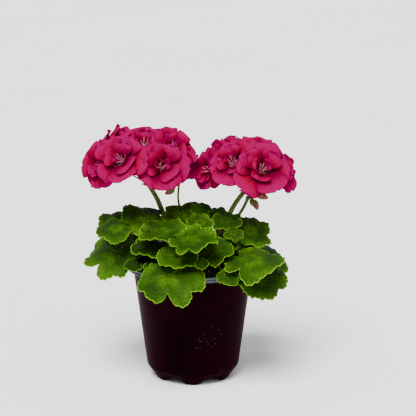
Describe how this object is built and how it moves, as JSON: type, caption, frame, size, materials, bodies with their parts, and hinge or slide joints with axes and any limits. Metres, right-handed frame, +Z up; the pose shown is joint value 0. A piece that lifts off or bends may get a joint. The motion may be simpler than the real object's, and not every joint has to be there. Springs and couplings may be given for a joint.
{
  "type": "potted geranium",
  "caption": "Zonal geranium with lobed leaves and two round heads of magenta semi-double flowers, in a tapered plastic grower's pot.",
  "frame": {"origin": "centre of the pot's underside, in the plane that the pot stands on", "axes": "+Z up along the pot's axis; -Y is the front of the plant, +X to the right seen from the front"},
  "size_m": [0.1881, 0.1811, 0.228],
  "materials": {
    "pot": "smooth, slightly glossy, near-black maroon",
    "soil": "crumbly dark peat mix",
    "stem": "matte green bark",
    "leaf": "soft matte leaf with a pale thin margin",
    "stalk": "soft hairy green stalk",
    "petal": "velvety magenta-crimson petal"
  },
  "bodies": {
    "root": {"pot": "pot", "soil": "soil", "stem": "stem", "leaf_front_left_low": "leaf", "leaf_left_low": "leaf", "leaf_left_middle": "leaf", "leaf_left_top_back": "leaf", "leaf_left_back_edge": "leaf", "leaf_left_top": "leaf", "leaf_front_left_upper": "leaf", "leaf_front_centre_bright": "leaf", "leaf_top_small": "leaf", "leaf_upper_centre": "leaf", "leaf_top_centre": "leaf", "leaf_top_back_right": "leaf", "leaf_top_right": "leaf", "leaf_right_small": "leaf", "leaf_right_top": "leaf", "leaf_right_young": "leaf", "leaf_front_right": "leaf", "leaf_right_edge": "leaf", "leaf_right_low": "leaf", "leaf_front_right_rim": "leaf", "leaf_front_centre_ruffled": "leaf", "leaf_front_left_dark": "leaf", "leaf_front_left_small": "leaf", "leaf_left_rim_small": "leaf", "leaf_front_right_dark": "leaf", "leaf_front_bud": "leaf", "leaf_right_inner": "leaf", "leaf_back_top": "leaf", "leaf_back_right_low": "leaf", "leaf_back_right_corner": "leaf", "leaf_back_low": "leaf", "leaf_back_left_corner": "leaf", "leaf_back_left_low": "leaf", "leaf_back_right_middle": "leaf", "leaf_back_middle": "leaf", "leaf_back_left_middle": "leaf", "leaf_left_back_middle": "leaf", "flower_stalks_left": "stalk", "petals_left": "petal", "flower_stalks_right": "stalk", "petals_right": "petal", "bud_spray_right": "stalk", "bud_spray_middle": "stalk"}
  },
  "joints": []
}
